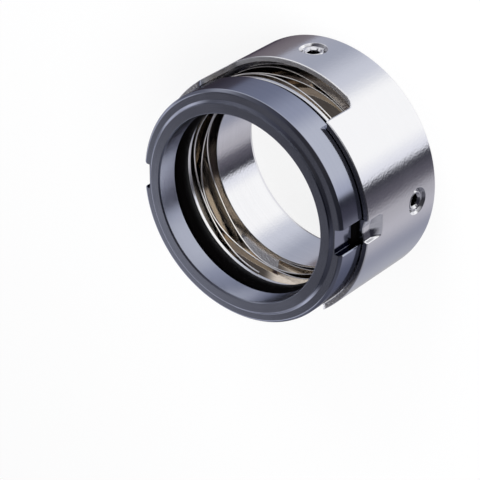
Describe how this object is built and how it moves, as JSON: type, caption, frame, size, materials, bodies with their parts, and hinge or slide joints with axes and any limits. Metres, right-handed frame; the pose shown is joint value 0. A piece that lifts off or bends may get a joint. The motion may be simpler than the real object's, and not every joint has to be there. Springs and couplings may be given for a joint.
{
  "type": "mechanical seal",
  "caption": "Rotary unit of a mechanical seal: windowed collar with drive lugs and set screws, wave spring, thrust ring, O-ring and lapped seal ring.",
  "frame": {"origin": "centre of the collar's rear face, on the shaft's axis", "axes": "+Z along the shaft from the collar's rear face to the lapped seal face, +X through a drive lug and a set screw, +Y through a window and the other set screw"},
  "size_m": [0.066, 0.066, 0.0398],
  "materials": {
    "collar_steel": "fine turned stainless steel, bright",
    "spring_steel": "rolled flat wire, bright with a straw tint",
    "thrust_steel": "smooth bright steel",
    "seal_rubber": "smooth black elastomer",
    "carbide": "ground and lapped silicon carbide, dark blue-grey, semi-gloss",
    "screw_steel": "bright stainless"
  },
  "bodies": {
    "collar_body": {"collar": "collar_steel", "wave_spring": "spring_steel"},
    "seal_head": {"seal_ring": "carbide", "o_ring": "seal_rubber", "thrust_ring": "thrust_steel"},
    "screw_lug_side": {"set_screw_lug_side": "screw_steel"},
    "screw_window_side": {"set_screw_window_side": "screw_steel"}
  },
  "joints": [
    {"name": "seal_head_slide", "type": "slide", "parent": "collar_body", "child": "seal_head", "axis": [0, 0, 1], "range_m": [-0.003, 0], "stiffness_N_per_m": 20000, "deforming": ["wave_spring"]},
    {"name": "screw_lug_side_feed", "type": "slide", "parent": "collar_body", "child": "screw_lug_side", "axis": [-1, 0, 0], "range_m": [0, 0.0014]},
    {"name": "screw_window_side_feed", "type": "slide", "parent": "collar_body", "child": "screw_window_side", "axis": [0, -1, 0], "range_m": [0, 0.0014]}
  ]
}
